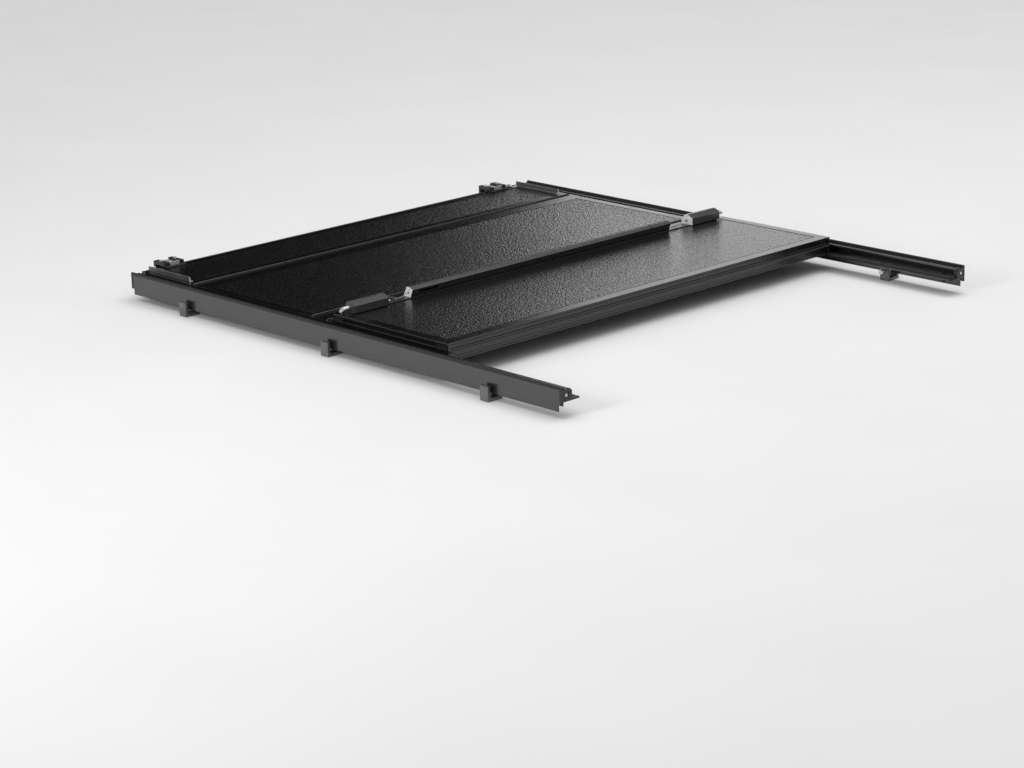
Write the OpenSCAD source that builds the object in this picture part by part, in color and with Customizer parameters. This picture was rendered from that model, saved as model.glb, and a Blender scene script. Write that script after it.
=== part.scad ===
// Four-panel hard folding cover for a pickup bed. Two side rails are clamped inside the bed,
// the front panel is fixed between them, and three more panels fold towards the cab.
// Frame: X towards the passenger side, Y towards the cab, Z up. The origin is the middle of the
// bed opening, level with the hinge axes, which lie just above the tops of the closed panels.
// The pieces are drawn with the rear panel folded forward, upside down on the third panel.

/* [Side rails] */
// Length of each side rail along the bed
rail_length = 1764; // [1740:2:1800]
// Distance across the bed between the lips of the two side rails
lip_gap = 1536; // [1530:2:1600]
// How far the ledge reaches in past the lip, under the panel's edge
ledge_reach = 29; // [24:1:40]
// How far the outer wall stands outboard of the lip's edge
wall_reach = 30; // [28:1:36]
// Depth from the lip's top to the ledge's top
ledge_depth = 26.5; // [26.5:0.5:29]
// Wall thickness of the rail extrusion
rail_t = 3; // [2.5:0.5:4]
// Depth of the clamping leg below the ledge
leg_depth = 30.5; // [24:0.5:36]
// Length of the plastic cap on each rail end
rail_cap_l = 12; // [8:1:20]

/* [Panels] */
// Width of every panel across the bed
panel_w = 1512; // [1500:2:1516]
// Depth of the panels' undersides below the hinge axes
panel_depth = 25; // [23:0.5:25]
// Length of the fixed front panel, from its front edge to the front hinge axis
panel1_l = 232; // [220:1:260]
// Length of the second panel between its hinge axes
panel2_l = 524; // [500:1:540]
// Length of the link between the second and third panels, axis to axis
link_l = 64; // [62:1:70]
// Length of the third panel between its hinge axes
panel3_l = 489; // [489:1:500]
// Length of the rear panel, from its hinge axis to its free edge
panel4_l = 460; // [440:1:460]
// Thickness of the frame bars' flanges
flange_t = 2; // [1.5:0.5:2.5]
// Width of the side bars
side_bar_w = 28; // [20:1:34]
// Gap around the top skins
skin_gap = 1.5; // [1:0.5:4]
// Gap around the bottom liners
liner_gap = 3; // [1:0.5:5]
// Pitch of the square cells in the cores
cell_pitch = 100; // [60:5:140]
// Wall between two cells
cell_wall = 8; // [4:1:16]

/* [Hinges] */
// Number of barrel segments along each hinge
knuckles = 9; // [5:2:15]
// Radius of the hinge pins
pin_r = 1.5; // [1.2:0.1:1.6]
// Running clearance of a pin in its barrel, on the radius
pin_clearance = 0.05; // [0.02:0.01:0.1]
// Outer radius of the hinge barrels
barrel_r = 3.2; // [2.8:0.1:3.4]

/* [Latch] */
// Half length of the latch rail between the two latches
latch_rail_x = 513; // [460:1:540]
// Inner and outer ends of a latch housing, from the middle of the cover
latch_in_x = 602; // [590:1:610]
latch_out_x = 722; // [718:1:724]
// Radius of the slam bolts
bolt_r = 7; // [6:0.5:7]
// Travel of a slam bolt when the cable pulls it in
bolt_travel = 18; // [16:1:20]

/* [Prop rods] */
// Length of a prop rod from its pivot to its foot
rod_l = 360; // [340:1:370]
// Radius of a prop rod
rod_r = 4; // [3:0.5:4]

/* [Hidden] */
$fn = 48;

// Places along the bed
rail_end_y = rail_length / 2;
front_y = rail_end_y;
hinge_front_y = front_y - panel1_l;
hinge_link_front_y = hinge_front_y - panel2_l;
hinge_link_rear_y = hinge_link_front_y - link_l;
hinge_rear_y = hinge_link_rear_y - panel3_l;
tail_y = hinge_rear_y - panel4_l;

// Places across the bed, on the passenger side
lip_x = lip_gap / 2;
ledge_x = lip_x - ledge_reach;
wall_x = lip_x + wall_reach;
rib_x = lip_x + 4;
panel_x = panel_w / 2;
cap_t = 6;
bar_x = panel_x - cap_t;
side_bar_x = panel_x - side_bar_w;
cap_l = 50;

// Panel section: heights of the top face and of the core between the flanges
top_z = -0.5;
core_top_z = top_z - flange_t - 0.05;
core_bottom_z = -panel_depth + flange_t + 0.05;

// Hinge bars: gap from the axis to the bar's face, nose, groove and web
edge_gap = 0.8;
chamfer = 0.6;
nose_h = 7.5;
groove_in = 4.8;
web_in = 8;
bead_top = 13;
bead_bottom = 18;
bead_in = 3.6;
lip_in = 2.2;
lip_h = 4;
relief_r = barrel_r + 0.4;
knuckle_l = 2 * bar_x / knuckles;
knuckle_gap = 0.3;

// Widths of the bars' flanges along the bed
front_bar_w = 30;
hinge_flange_w = 37;
panel2_front_flange_w = 61;
covered_flange_w = 6;
bottom_flange_w = 34;
tail_flange_w = 47;

// Latch section, closed: the base line is the panel's underside
latch_y = tail_y + 28.5;
strip_t = 2;
bolt_axis = [6.5, -14.5];
tail_r = 3.5;
collar_in = latch_out_x - 28.3;
bolt_tip_x = ledge_x + 16;
tail_end_x = latch_in_x - 4;
cable_r = 1.2;
cable_in_x = latch_in_x + 4;

// Prop rods and clamps
rod_pivot_y = hinge_front_y - 200;
rod_x = ledge_x - 31;
rod_z = -panel_depth - 9.5;
rod_foot_y = rod_pivot_y - rod_l;
rod_pin_r = 2.5;
clamp_ys = [-620, 0, 620];
clamp_l = 30;
clamp_bolt_z = -ledge_depth - rail_t - 18;
knob_x = ledge_x + 8;
knob_y = front_y - 82;
nipple_x = lip_x + 17;
nipple_r = 6.5;
nipple_l = 20;
nipple_ys = [-820, 820];

// ---------- shared shapes ----------

// Extrudes an outline drawn in [Y, Z] along X
module along_x(x0, x1) translate([x0, 0, 0]) rotate([90, 0, 90]) linear_extrude(x1 - x0) children();

// Extrudes an outline drawn in [X, Z] along Y
module along_y(y0, y1) translate([0, y1, 0]) rotate([90, 0, 0]) linear_extrude(y1 - y0) children();

// Round bar along X
module pin_x(x0, x1, r) translate([x0, 0, 0]) rotate([0, 90, 0]) cylinder(r = r, h = x1 - x0);

// Block between two corners
module block(low, high) translate(low) cube(high - low);

// Rectangle between two corners
module area(low, high) translate(low) square(high - low);

// Draws the children on the passenger side and mirrored on the driver side
module both_sides() {
    children();
    mirror([1, 0, 0]) children();
}

// Turns a piece drawn towards +Y so that it points along the given sign of Y
module facing(toward) {
    if (toward < 0) mirror([0, 1, 0]) children();
    else children();
}

// Places a piece of the closed rear panel where it lies once folded forward
module folded() translate([0, hinge_rear_y, 0]) rotate([180, 0, 0])
    translate([0, -hinge_rear_y, 0]) children();

// ---------- panel frame ----------

// Outline of a hinge bar in [Y, Z]: hinge axis at the origin, panel towards +Y
module hinge_bar_outline(top_w, bottom_w) polygon([
    [edge_gap + chamfer, top_z],
    [edge_gap, top_z - chamfer],
    [edge_gap, -nose_h + chamfer],
    [edge_gap + chamfer, -nose_h],
    [groove_in, -nose_h],
    [groove_in, -bead_top],
    [bead_in, -bead_top - chamfer],
    [bead_in, -bead_bottom + chamfer],
    [groove_in, -bead_bottom],
    [groove_in, -panel_depth + lip_h],
    [lip_in + chamfer, -panel_depth + lip_h],
    [lip_in, -panel_depth + lip_h - chamfer],
    [lip_in, -panel_depth + chamfer],
    [lip_in + chamfer, -panel_depth],
    [bottom_w, -panel_depth],
    [bottom_w, -panel_depth + flange_t],
    [web_in, -panel_depth + flange_t],
    [web_in, top_z - flange_t],
    [top_w, top_z - flange_t],
    [top_w, top_z]]);

// Outline of a bar with no hinge: outer face at the origin, panel towards +Y
module plain_bar_outline(top_w, bottom_w) polygon([
    [chamfer, top_z],
    [0, top_z - chamfer],
    [0, -nose_h],
    [groove_in - lip_in, -nose_h - chamfer],
    [groove_in - lip_in, -panel_depth + lip_h + chamfer],
    [0, -panel_depth + lip_h],
    [0, -panel_depth + chamfer],
    [chamfer, -panel_depth],
    [bottom_w, -panel_depth],
    [bottom_w, -panel_depth + flange_t],
    [web_in, -panel_depth + flange_t],
    [web_in, top_z - flange_t],
    [top_w, top_z - flange_t],
    [top_w, top_z]]);

// Every second segment of a hinge line, counted from the driver side
module segments(first, r, gap) for (i = [first : 2 : knuckles - 1])
    pin_x(-bar_x + i * knuckle_l + gap, -bar_x + (i + 1) * knuckle_l - gap, r);

// Hinge bar at an axis, with barrels on its own segments and room for the other bar's
module hinge_bar(axis_y, toward, top_w, bottom_w, first) translate([0, axis_y, 0]) facing(toward)
    difference() {
        union() {
            along_x(-bar_x, bar_x) hinge_bar_outline(top_w, bottom_w);
            segments(first, barrel_r, knuckle_gap);
        }
        segments(1 - first, relief_r, 0);
        pin_x(-bar_x - 1, bar_x + 1, pin_r + pin_clearance);
    }

// Plain bar whose outer face is at edge_y
module plain_bar(edge_y, toward, top_w, bottom_w) translate([0, edge_y, 0]) facing(toward)
    along_x(-side_bar_x, side_bar_x) plain_bar_outline(top_w, bottom_w);

// Hinge pin, a little shorter than its barrels
module hinge_pin(axis_y) color("dimgray") translate([0, axis_y, 0])
    pin_x(-bar_x + 0.5, bar_x - 0.5, pin_r);

// Outline of a side bar in [X, Z], with the same grooved face as the other bars
module side_bar_outline() polygon([
    [side_bar_x, top_z],
    [panel_x - chamfer, top_z],
    [panel_x, top_z - chamfer],
    [panel_x, -nose_h],
    [panel_x - 1.6, -nose_h - chamfer],
    [panel_x - 1.6, -panel_depth + lip_h + chamfer],
    [panel_x, -panel_depth + lip_h],
    [panel_x, -panel_depth + chamfer],
    [panel_x - chamfer, -panel_depth],
    [side_bar_x, -panel_depth],
    [side_bar_x, -panel_depth + flange_t],
    [panel_x - 4, -panel_depth + flange_t],
    [panel_x - 4, top_z - flange_t],
    [side_bar_x, top_z - flange_t]]);

// Side bars between the bars at y0 and y1, notched for those bars' flanges and the corner caps.
// Each end gives [depth of the cap, depth of the top flange, depth of the bottom flange].
module side_bars(y0, y1, end0, end1) color("dimgray") both_sides() difference() {
    along_y(y0, y1) side_bar_outline();
    for (e = [[y0, 1, end0], [y1, -1, end1]]) translate([0, e[0], 0]) facing(e[1]) {
        block([bar_x, -1, -panel_depth - 1], [panel_x + 1, e[2][0], 1]);
        block([side_bar_x - 1, -1, core_top_z], [bar_x + 0.1, e[2][1], 1]);
        block([side_bar_x - 1, -1, -panel_depth - 1], [bar_x + 0.1, e[2][2], core_bottom_z]);
    }
}

// Cap on the ends of a hinge bar, with a rounded corner and a finger groove
module thin_caps(axis_y, toward) both_sides() translate([0, axis_y, 0]) facing(toward)
    difference() {
        translate([0, 0, -panel_depth]) linear_extrude(panel_depth + top_z) intersection() {
            union() {
                area([bar_x, edge_gap], [panel_x - 5, cap_l - 0.3]);
                area([bar_x, edge_gap + 5], [panel_x, cap_l - 0.3]);
                translate([panel_x - 5, edge_gap + 5]) circle(r = 5);
            }
            area([bar_x, 0], [panel_x, cap_l]);
        }
        block([panel_x - 1.2, 9, -panel_depth + 6], [panel_x + 1, cap_l - 6, -nose_h]);
    }

// Solid corner block beside a plain bar
module corner_blocks(edge_y, toward) both_sides() translate([0, edge_y, 0]) facing(toward)
    difference() {
        translate([0, 0, -panel_depth]) linear_extrude(panel_depth + top_z) union() {
            area([side_bar_x, 0], [panel_x - 8, cap_l - 0.3]);
            area([side_bar_x, 8], [panel_x, cap_l - 0.3]);
            translate([panel_x - 8, 8]) circle(r = 8);
        }
        block([panel_x - 1.2, 12, -panel_depth + 6], [panel_x + 1, cap_l - 6, -nose_h]);
    }

// Top skin between the flanges: y0 and y1 are the flange edges
module skin(y0, y1) color([0.12, 0.12, 0.13]) block(
    [-side_bar_x + skin_gap, y0 + skin_gap, top_z - flange_t],
    [side_bar_x - skin_gap, y1 - skin_gap, top_z - 0.4]);

// Bottom liner between the flanges
module liner(y0, y1) color([0.2, 0.2, 0.21]) block(
    [-side_bar_x + liner_gap, y0 + liner_gap, -panel_depth + 0.4],
    [side_bar_x - liner_gap, y1 - liner_gap, -panel_depth + flange_t]);

// Cellular core between the webs at y0 and y1. Corners with solid blocks are cut away: at the y1
// end when block_end is 1, and at the y0 end when it is -1.
module core(y0, y1, block_end) {
    half = bar_x - 1;
    length = y1 - y0;
    columns = round((2 * half - cell_wall) / cell_pitch);
    rows = round((length - cell_wall) / cell_pitch);
    pitch = [(2 * half - cell_wall) / columns, (length - cell_wall) / rows];
    color([0.55, 0.55, 0.5]) translate([0, y0, core_bottom_z])
        linear_extrude(core_top_z - core_bottom_z) difference() {
            area([-half, 0], [half, length]);
            if (block_end != 0) for (s = [-1, 1])
                translate([s * (side_bar_x + 19.9), block_end > 0 ? length : 0])
                    square([40, 2 * (cap_l - web_in)], center = true);
            for (i = [0 : columns - 1], j = [0 : rows - 1])
                translate([i * pitch[0] - half + cell_wall, j * pitch[1] + cell_wall])
                    square([pitch[0] - cell_wall, pitch[1] - cell_wall]);
        }
}

// ---------- side rails ----------

// Outline of the passenger rail's wall, with the lip along its top, in [X, Z]
module rail_wall_outline() {
    area([wall_x - rail_t, -ledge_depth - leg_depth], [wall_x, 0]);
    area([lip_x, -rail_t], [wall_x, 0]);
    area([lip_x, -5], [lip_x + 2, 0]);
}

// Outline of the ribbed ledge that stands on the inside of the wall, in [X, Z]
module rail_ledge_outline() {
    area([ledge_x, -ledge_depth - rail_t], [wall_x - rail_t, -ledge_depth]);
    area([ledge_x, -ledge_depth - rail_t - 1.5], [ledge_x + 3, -ledge_depth + 0.4]);
    area([rib_x, -ledge_depth - rail_t - 6], [rib_x + rail_t, -ledge_depth]);
    for (i = [0 : 4]) area([lip_x - 8 + i * 7, -ledge_depth - 1], [lip_x - 6 + i * 7, -ledge_depth + 0.8]);
}

// Walls of the two side rails
module rail_walls() color([0.16, 0.16, 0.17]) both_sides()
    along_y(-rail_end_y + rail_cap_l, rail_end_y - rail_cap_l) rail_wall_outline();

// Ledges: notched for the prop rod's foot, drilled for the knob and the nipples
module rail_ledges() color([0.18, 0.18, 0.19]) both_sides() difference() {
    along_y(-rail_end_y + rail_cap_l, rail_end_y - rail_cap_l) rail_ledge_outline();
    block([ledge_x - 1, rod_foot_y - 12, -ledge_depth - 6], [ledge_x + 14, rod_foot_y + 12, -10]);
    translate([knob_x, knob_y, -ledge_depth - 6]) cylinder(r = 3.4, h = 12);
    for (y = nipple_ys) translate([nipple_x, y, -ledge_depth]) {
        translate([0, 0, -6]) cylinder(r = 6, h = 12);
        cylinder(r = 7.8, h = 3);
    }
}

// Bulb seals along the tops of the rails
module rail_top_seals() color([0.08, 0.08, 0.08]) both_sides() along_y(-rail_end_y, rail_end_y)
    difference() {
        union() {
            area([wall_x - 12, 0], [wall_x, 2]);
            translate([wall_x - 4, 3.5]) circle(r = 3.5);
        }
        translate([wall_x - 4, 3.5]) circle(r = 2);
    }

// Strip seals on the ledges, broken for the prop rods' feet and the knobs
module ledge_seals() color([0.1, 0.1, 0.1]) both_sides()
    for (span = [[-rail_end_y + rail_cap_l + 1, rod_foot_y - 12], [rod_foot_y + 12, knob_y - 12]])
        along_y(span[0], span[1]) area([ledge_x + 4, -ledge_depth], [ledge_x + 12, -panel_depth - 0.3]);

// Cap that closes the rail's channel at each end
module rail_end_caps() color([0.09, 0.09, 0.1]) both_sides() for (toward = [-1, 1])
    facing(toward) difference() {
        along_y(rail_end_y - rail_cap_l, rail_end_y) union() {
            area([ledge_x, -ledge_depth - rail_t - 1.5], [wall_x, -ledge_depth + 0.4]);
            area([lip_x - 4, -ledge_depth], [wall_x, -4]);
            area([lip_x, -5], [wall_x, 0]);
            area([wall_x - rail_t - 1, -ledge_depth - 14], [wall_x, -ledge_depth]);
        }
        block([lip_x + 6, rail_end_y - 2, -ledge_depth + 5], [wall_x - 6, rail_end_y + 1, -8]);
        block([lip_x + 3, 0, -1], [wall_x - 3, rail_end_y - 3, 1]);
    }

// Hose nipples under the rail's channel
module drain_nipples() color([0.1, 0.1, 0.11]) both_sides() for (y = nipple_ys)
    translate([nipple_x, y, -ledge_depth + 0.9]) rotate([180, 0, 0]) difference() {
        union() {
            cylinder(r = 7.5, h = 0.9);
            cylinder(r = 5.9, h = 5);
            translate([0, 0, rail_t + 1]) cylinder(r = nipple_r, h = nipple_l);
        }
        translate([0, 0, -1]) cylinder(r = 4, h = 30);
    }

// Clamp that squeezes the rail's leg against the bed's flange
module clamp_bodies() color([0.35, 0.35, 0.36]) both_sides() for (y = clamp_ys)
    difference() {
        along_y(y - clamp_l / 2, y + clamp_l / 2) union() {
            area([wall_x - 32, clamp_bolt_z - 28], [wall_x - 24, clamp_bolt_z + 9]);
            area([wall_x - 32, clamp_bolt_z - 28], [wall_x + 17, clamp_bolt_z - 20]);
            area([wall_x + 8, clamp_bolt_z - 28], [wall_x + 17, clamp_bolt_z + 12]);
        }
        translate([0, y, clamp_bolt_z]) pin_x(wall_x - 40, wall_x - 20, 4.05);
    }

// Clamp bolts with hexagon heads and pressing pads
module clamp_bolts() color("silver") both_sides() for (y = clamp_ys)
    translate([0, y, clamp_bolt_z]) {
        pin_x(wall_x - 46, wall_x - 6, 4);
        translate([wall_x - 50, 0, 0]) rotate([0, 90, 0]) cylinder(r = 7.5, h = 5.5, $fn = 6);
        pin_x(wall_x - 7, wall_x - rail_t - 0.1, 7);
    }

// ---------- front panel ----------

module panel1_skin() skin(hinge_front_y + hinge_flange_w, front_y - front_bar_w);
module panel1_core() core(hinge_front_y + web_in, front_y - web_in, 1);
module panel1_liner() liner(hinge_front_y + bottom_flange_w, front_y - front_bar_w);
module panel1_front_bar() color("dimgray") plain_bar(front_y, -1, front_bar_w, front_bar_w);
module panel1_hinge_bar() color("dimgray")
    hinge_bar(hinge_front_y, 1, hinge_flange_w, bottom_flange_w, 0);
module panel1_side_bars() side_bars(hinge_front_y, front_y,
    [cap_l, hinge_flange_w, bottom_flange_w], [cap_l, cap_l, cap_l]);
module panel1_corner_caps() color([0.07, 0.07, 0.08]) {
    thin_caps(hinge_front_y, 1);
    corner_blocks(front_y, -1);
}

// Seal against the bed's front wall
module bulkhead_seal() color([0.08, 0.08, 0.08]) along_x(-bar_x, bar_x) difference() {
    union() {
        area([front_y, -16], [front_y + 4, -2]);
        area([front_y, -4], [front_y + 14, -2.2]);
        translate([front_y + 8, -9]) circle(r = 6);
    }
    translate([front_y + 8, -9]) circle(r = 4.2);
}

// Raised angle trims along the sides of the front panel
trim_x = panel_x - 19;
module front_side_trims() color([0.3, 0.3, 0.31]) both_sides()
    along_y(hinge_front_y + 32, front_y - 6) union() {
        area([trim_x - 10, top_z], [trim_x + 2, 1.5]);
        area([trim_x - 2, top_z], [trim_x + 2, 12]);
        translate([trim_x, 12]) circle(r = 2);
    }

// Bright clips that hold the front corners down
module corner_clips() color("silver") both_sides() translate([trim_x - 12, front_y, 0]) {
    block([-22, -28, top_z], [0, -14, 2]);
    block([-20, -16, top_z], [-6, 8, 2]);
    block([-20, 5, -1.5], [-6, 8, 6]);
    translate([-7, -21, 2]) cylinder(r = 4, h = 2.5);
}

// Black bracket bodies that reach over the bed's front wall
bracket_x = 650;
module cab_brackets() color([0.1, 0.1, 0.1]) both_sides() translate([bracket_x, front_y, 0]) {
    block([-35, -24, top_z], [35, 0, 3]);
    block([-35, -12, 3], [-18, 44, 13]);
    block([15, -12, 3], [35, 44, 13]);
    block([-35, 34, -16], [-18, 44, 3]);
    block([15, 34, -16], [35, 44, 3]);
}

// Light hooks held between the ears of the brackets
module cab_bracket_hooks() color([0.6, 0.6, 0.6]) both_sides()
    translate([bracket_x, front_y, 0]) {
        block([-17, -14, 3], [14, 46, 7]);
        block([-17, 42, -22], [14, 46, 7]);
        block([-17, -14, 3], [14, -10, 14]);
    }

// Screws of the cab brackets
module cab_bracket_screws() color("silver") both_sides()
    for (x = [-26, -2, 25]) translate([bracket_x + x, front_y + (x == -2 ? 14 : 20), x == -2 ? 7 : 13]) {
        cylinder(r = 5, h = 3.5);
        cylinder(r = 7, h = 1);
    }

// Knobs that pull the front panel down onto the ledges
module mounting_knobs() color([0.12, 0.12, 0.12]) both_sides() translate([knob_x, knob_y, 0]) {
    translate([0, 0, -panel_depth - 26]) cylinder(r = 3, h = 26);
    translate([0, 0, -panel_depth - 24]) difference() {
        cylinder(r = 12, h = 16);
        for (i = [0 : 5]) rotate(i * 60) translate([14, 0, -1]) cylinder(r = 4, h = 18);
    }
    translate([0, 0, -panel_depth - 7.8]) cylinder(r = 6.5, h = 1.5);
}

module hinge_pin_front() hinge_pin(hinge_front_y);

// ---------- second panel ----------

module panel2_skin() skin(hinge_link_front_y + covered_flange_w, hinge_front_y - panel2_front_flange_w);
module panel2_core() core(hinge_link_front_y + web_in, hinge_front_y - web_in, 0);
module panel2_liner() liner(hinge_link_front_y + bottom_flange_w, hinge_front_y - bottom_flange_w);
module panel2_front_bar() color("dimgray")
    hinge_bar(hinge_front_y, -1, panel2_front_flange_w, bottom_flange_w, 1);
module panel2_rear_bar() color("dimgray")
    hinge_bar(hinge_link_front_y, 1, covered_flange_w, bottom_flange_w, 0);
module panel2_side_bars() side_bars(hinge_link_front_y, hinge_front_y,
    [cap_l, covered_flange_w, bottom_flange_w], [cap_l, panel2_front_flange_w, bottom_flange_w]);
module panel2_corner_caps() color([0.07, 0.07, 0.08]) {
    thin_caps(hinge_link_front_y, 1);
    thin_caps(hinge_front_y, -1);
}

// Pivot brackets and spring clips for the prop rods
module prop_rod_mounts() color([0.3, 0.3, 0.31]) both_sides() {
    translate([rod_x, rod_pivot_y, rod_z]) {
        block([-14, -14, 7.7], [14, 14, 9.9]);
        for (x = [-10, 6]) {
            block([x, -7, 0], [x + 4, 7, 8.5]);
            pin_x(x, x + 4, 7);
        }
        pin_x(-8, 8, rod_pin_r);
    }
    translate([rod_x, rod_foot_y + 90, rod_z]) along_y(-8, 8) union() {
        area([-8, 7.7], [8, 9.9]);
        for (s = [-1, 1]) area([s * 5.6 - 1.1, -5], [s * 5.6 + 1.1, 9]);
    }
}

// Prop rod with a pivot eye and a foot that rests on the ledge
module prop_rod() color("silver") translate([rod_x, rod_pivot_y, rod_z]) difference() {
    union() {
        pin_x(-5.6, 5.6, 6.5);
        translate([0, -5, 0]) rotate([90, 0, 0]) cylinder(r = rod_r, h = rod_l - 5);
        translate([0, -rod_l, 0]) sphere(r = rod_r);
        translate([0, -rod_l, 0]) pin_x(0, lip_x - 22 - rod_x, rod_r);
    }
    pin_x(-7, 7, rod_pin_r + pin_clearance);
}
module prop_rod_right() prop_rod();
module prop_rod_left() mirror([1, 0, 0]) prop_rod();

// ---------- link between the second and third panels ----------

// Outline of the link in [Y, Z], with its rear axis at the origin
module link_outline() difference() {
    polygon([
        [edge_gap, top_z - chamfer],
        [edge_gap + chamfer, top_z],
        [link_l - edge_gap - chamfer, top_z],
        [link_l - edge_gap, top_z - chamfer],
        [link_l - edge_gap, -nose_h],
        [link_l - groove_in, -nose_h - 2],
        [link_l - groove_in, -18],
        [groove_in, -18],
        [groove_in, -nose_h - 2],
        [edge_gap, -nose_h]]);
    area([web_in, -15.5], [link_l / 2 - 1, -3]);
    area([link_l / 2 + 1, -15.5], [link_l - web_in, -3]);
}
module link_bar() color([0.4, 0.4, 0.41]) difference() {
    union() {
        translate([0, hinge_link_rear_y, 0]) along_x(-bar_x, bar_x) link_outline();
        translate([0, hinge_link_rear_y, 0]) segments(0, barrel_r, knuckle_gap);
        translate([0, hinge_link_front_y, 0]) segments(1, barrel_r, knuckle_gap);
    }
    translate([0, hinge_link_rear_y, 0]) segments(1, relief_r, 0);
    translate([0, hinge_link_front_y, 0]) segments(0, relief_r, 0);
    for (y = [hinge_link_rear_y, hinge_link_front_y])
        translate([0, y, 0]) pin_x(-bar_x - 1, bar_x + 1, pin_r + pin_clearance);
}
module link_end_caps() color([0.07, 0.07, 0.08]) both_sides()
    translate([0, hinge_link_rear_y, 0]) along_x(bar_x, panel_x) union() {
        area([edge_gap, -14], [link_l - edge_gap, top_z]);
        area([edge_gap + 4, -18], [link_l - edge_gap - 4, -13]);
    }
module hinge_pin_link_front() hinge_pin(hinge_link_front_y);
module hinge_pin_link_rear() hinge_pin(hinge_link_rear_y);

// ---------- third panel ----------

module panel3_skin() skin(hinge_rear_y + hinge_flange_w, hinge_link_rear_y - hinge_flange_w);
module panel3_core() core(hinge_rear_y + web_in, hinge_link_rear_y - web_in, 0);
module panel3_liner() liner(hinge_rear_y + bottom_flange_w, hinge_link_rear_y - bottom_flange_w);
module panel3_front_bar() color("dimgray")
    hinge_bar(hinge_link_rear_y, -1, hinge_flange_w, bottom_flange_w, 1);
module panel3_rear_bar() color("dimgray")
    hinge_bar(hinge_rear_y, 1, hinge_flange_w, bottom_flange_w, 0);
module panel3_side_bars() side_bars(hinge_rear_y, hinge_link_rear_y,
    [cap_l, hinge_flange_w, bottom_flange_w], [cap_l, hinge_flange_w, bottom_flange_w]);
module panel3_corner_caps() color([0.07, 0.07, 0.08]) {
    thin_caps(hinge_rear_y, 1);
    thin_caps(hinge_link_rear_y, -1);
}
module hinge_pin_rear() hinge_pin(hinge_rear_y);

// ---------- rear panel, drawn closed and folded forward ----------

module panel4_skin() folded() skin(tail_y + hinge_flange_w, hinge_rear_y - hinge_flange_w);
module panel4_core() folded() core(tail_y + web_in, hinge_rear_y - web_in, -1);
module panel4_liner() folded() liner(tail_y + tail_flange_w, hinge_rear_y - bottom_flange_w);
module panel4_hinge_bar() folded() color("dimgray")
    hinge_bar(hinge_rear_y, -1, hinge_flange_w, bottom_flange_w, 1);
module panel4_tail_bar() folded() color("dimgray") plain_bar(tail_y, 1, hinge_flange_w, tail_flange_w);
module panel4_side_bars() folded() side_bars(tail_y, hinge_rear_y,
    [cap_l, cap_l, cap_l], [cap_l, hinge_flange_w, bottom_flange_w]);
module panel4_corner_caps() folded() color([0.07, 0.07, 0.08]) {
    thin_caps(hinge_rear_y, -1);
    corner_blocks(tail_y, 1);
}

// Seal that closes onto the tailgate's top
module tailgate_seal() folded() color([0.08, 0.08, 0.08]) along_x(-panel_x + 10, panel_x - 10)
    difference() {
        union() {
            area([tail_y - 3, -17], [tail_y, -2.5]);
            area([tail_y - 24, -4.5], [tail_y, -2.5]);
            translate([tail_y - 6, -12]) circle(r = 5);
        }
        translate([tail_y - 6, -12]) circle(r = 3.4);
    }

// Places the latch section on the underside near the free edge
module at_latch() translate([0, latch_y, -panel_depth]) children();

// Latch rail: base strip under both latches, and a hollow leaning rail between them
module latch_rail() folded() color([0.3, 0.3, 0.31]) at_latch() difference() {
    union() {
        along_x(-latch_out_x - 1, latch_out_x + 1) area([-16, -strip_t], [17, 0]);
        along_x(-latch_rail_x, latch_rail_x) difference() {
            union() {
                polygon([[-14.5, 0], [14.5, 0], [24.5, -28], [22.5, -30.4],
                    [1.5, -30.4], [-0.5, -28]]);
                for (i = [0 : 3]) area([3.5 + i * 5, -31], [5.5 + i * 5, -29]);
            }
            difference() {
                polygon([[-10.5, -strip_t], [11, -strip_t], [20.8, -27.9], [3.3, -27.9]]);
                translate([11, -25]) circle(r = 4.5);
            }
            translate([11, -25]) circle(r = 2.1);
        }
    }
    block([-486, 10, -20], [-416, 30, -12]);
    block([430, -1, -40], [434, 30, -24]);
    block([426, 12, -40], [438, 30, -28.5]);
}

// Housings of the two slam latches
module latch_housings() folded() color([0.14, 0.14, 0.15]) both_sides() at_latch() difference() {
    along_x(latch_in_x, latch_out_x) polygon([[-16, -strip_t], [28.5, -strip_t], [28.5, -22],
        [26.5, -24.5], [11.5, -31.5], [8, -32], [-4, -30], [-16, -14]]);
    translate([0, bolt_axis[0], bolt_axis[1]]) {
        pin_x(latch_in_x - 1, latch_in_x + 7, tail_r + 0.4);
        pin_x(latch_in_x + 6, latch_out_x - 28, 8.6);
        pin_x(latch_out_x - 29, latch_out_x + 1, bolt_r + 0.06);
    }
}

// Slam bolt with a ramped tip, a stop collar and a drilled tail for the cable
module latch_bolt() at_latch() translate([0, bolt_axis[0], bolt_axis[1]]) difference() {
    union() {
        pin_x(collar_in - 4.2, bolt_tip_x, bolt_r);
        pin_x(collar_in - 4.2, collar_in, bolt_r + 1.2);
        pin_x(tail_end_x, collar_in - 4, tail_r);
    }
    pin_x(tail_end_x - 1, tail_end_x + 42, 1.8);
    translate([bolt_tip_x - 11, 0, -bolt_r]) rotate([0, -45, 0]) block([0, -10, -30], [40, 10, 0]);
}
module latch_bolt_right() folded() color("silver") latch_bolt();
module latch_bolt_left() folded() color("silver") mirror([1, 0, 0]) latch_bolt();

// Compression springs around the bolts' tails
spring_turns = 7;
spring_steps = 12;
spring_sides = 5;
spring_r = 5.8;
spring_wire_r = 0.9;
module latch_springs() folded() color("silver") both_sides() at_latch()
    translate([latch_in_x + 8.5, bolt_axis[0], bolt_axis[1]])
        spring(collar_in - 4.2 - latch_in_x - 10);

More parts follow.
